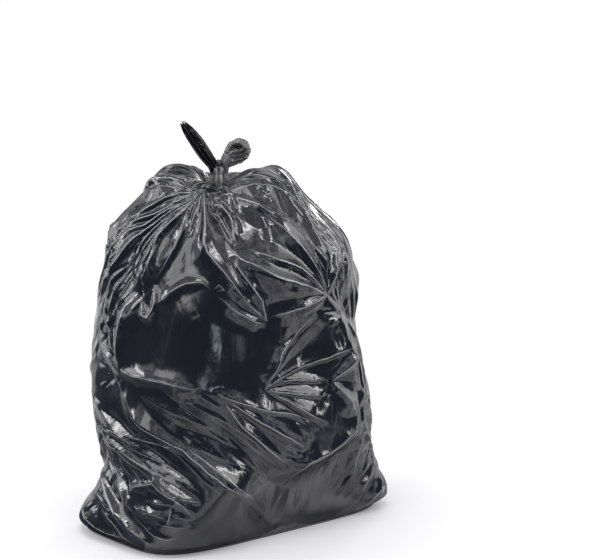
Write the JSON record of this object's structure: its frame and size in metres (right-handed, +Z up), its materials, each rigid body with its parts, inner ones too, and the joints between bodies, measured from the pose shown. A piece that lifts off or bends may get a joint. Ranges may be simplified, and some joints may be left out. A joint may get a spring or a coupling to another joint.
{
  "type": "filled tied bin bag",
  "caption": "Full black polythene refuse sack standing upright, its mouth gathered into a knot with a flat ear and a curled ear of film.",
  "frame": {"origin": "on the floor, under the centre of the sack's bounding box", "axes": "+Z up, +X along the sack's bottom seam, which is its long way on the floor, +Y through its depth, away from the side that the picture shows most"},
  "size_m": [0.5, 0.396, 0.6358],
  "materials": {
    "film": "glossy thin film"
  },
  "bodies": {
    "root": {"bin_bag": "film"}
  },
  "joints": []
}
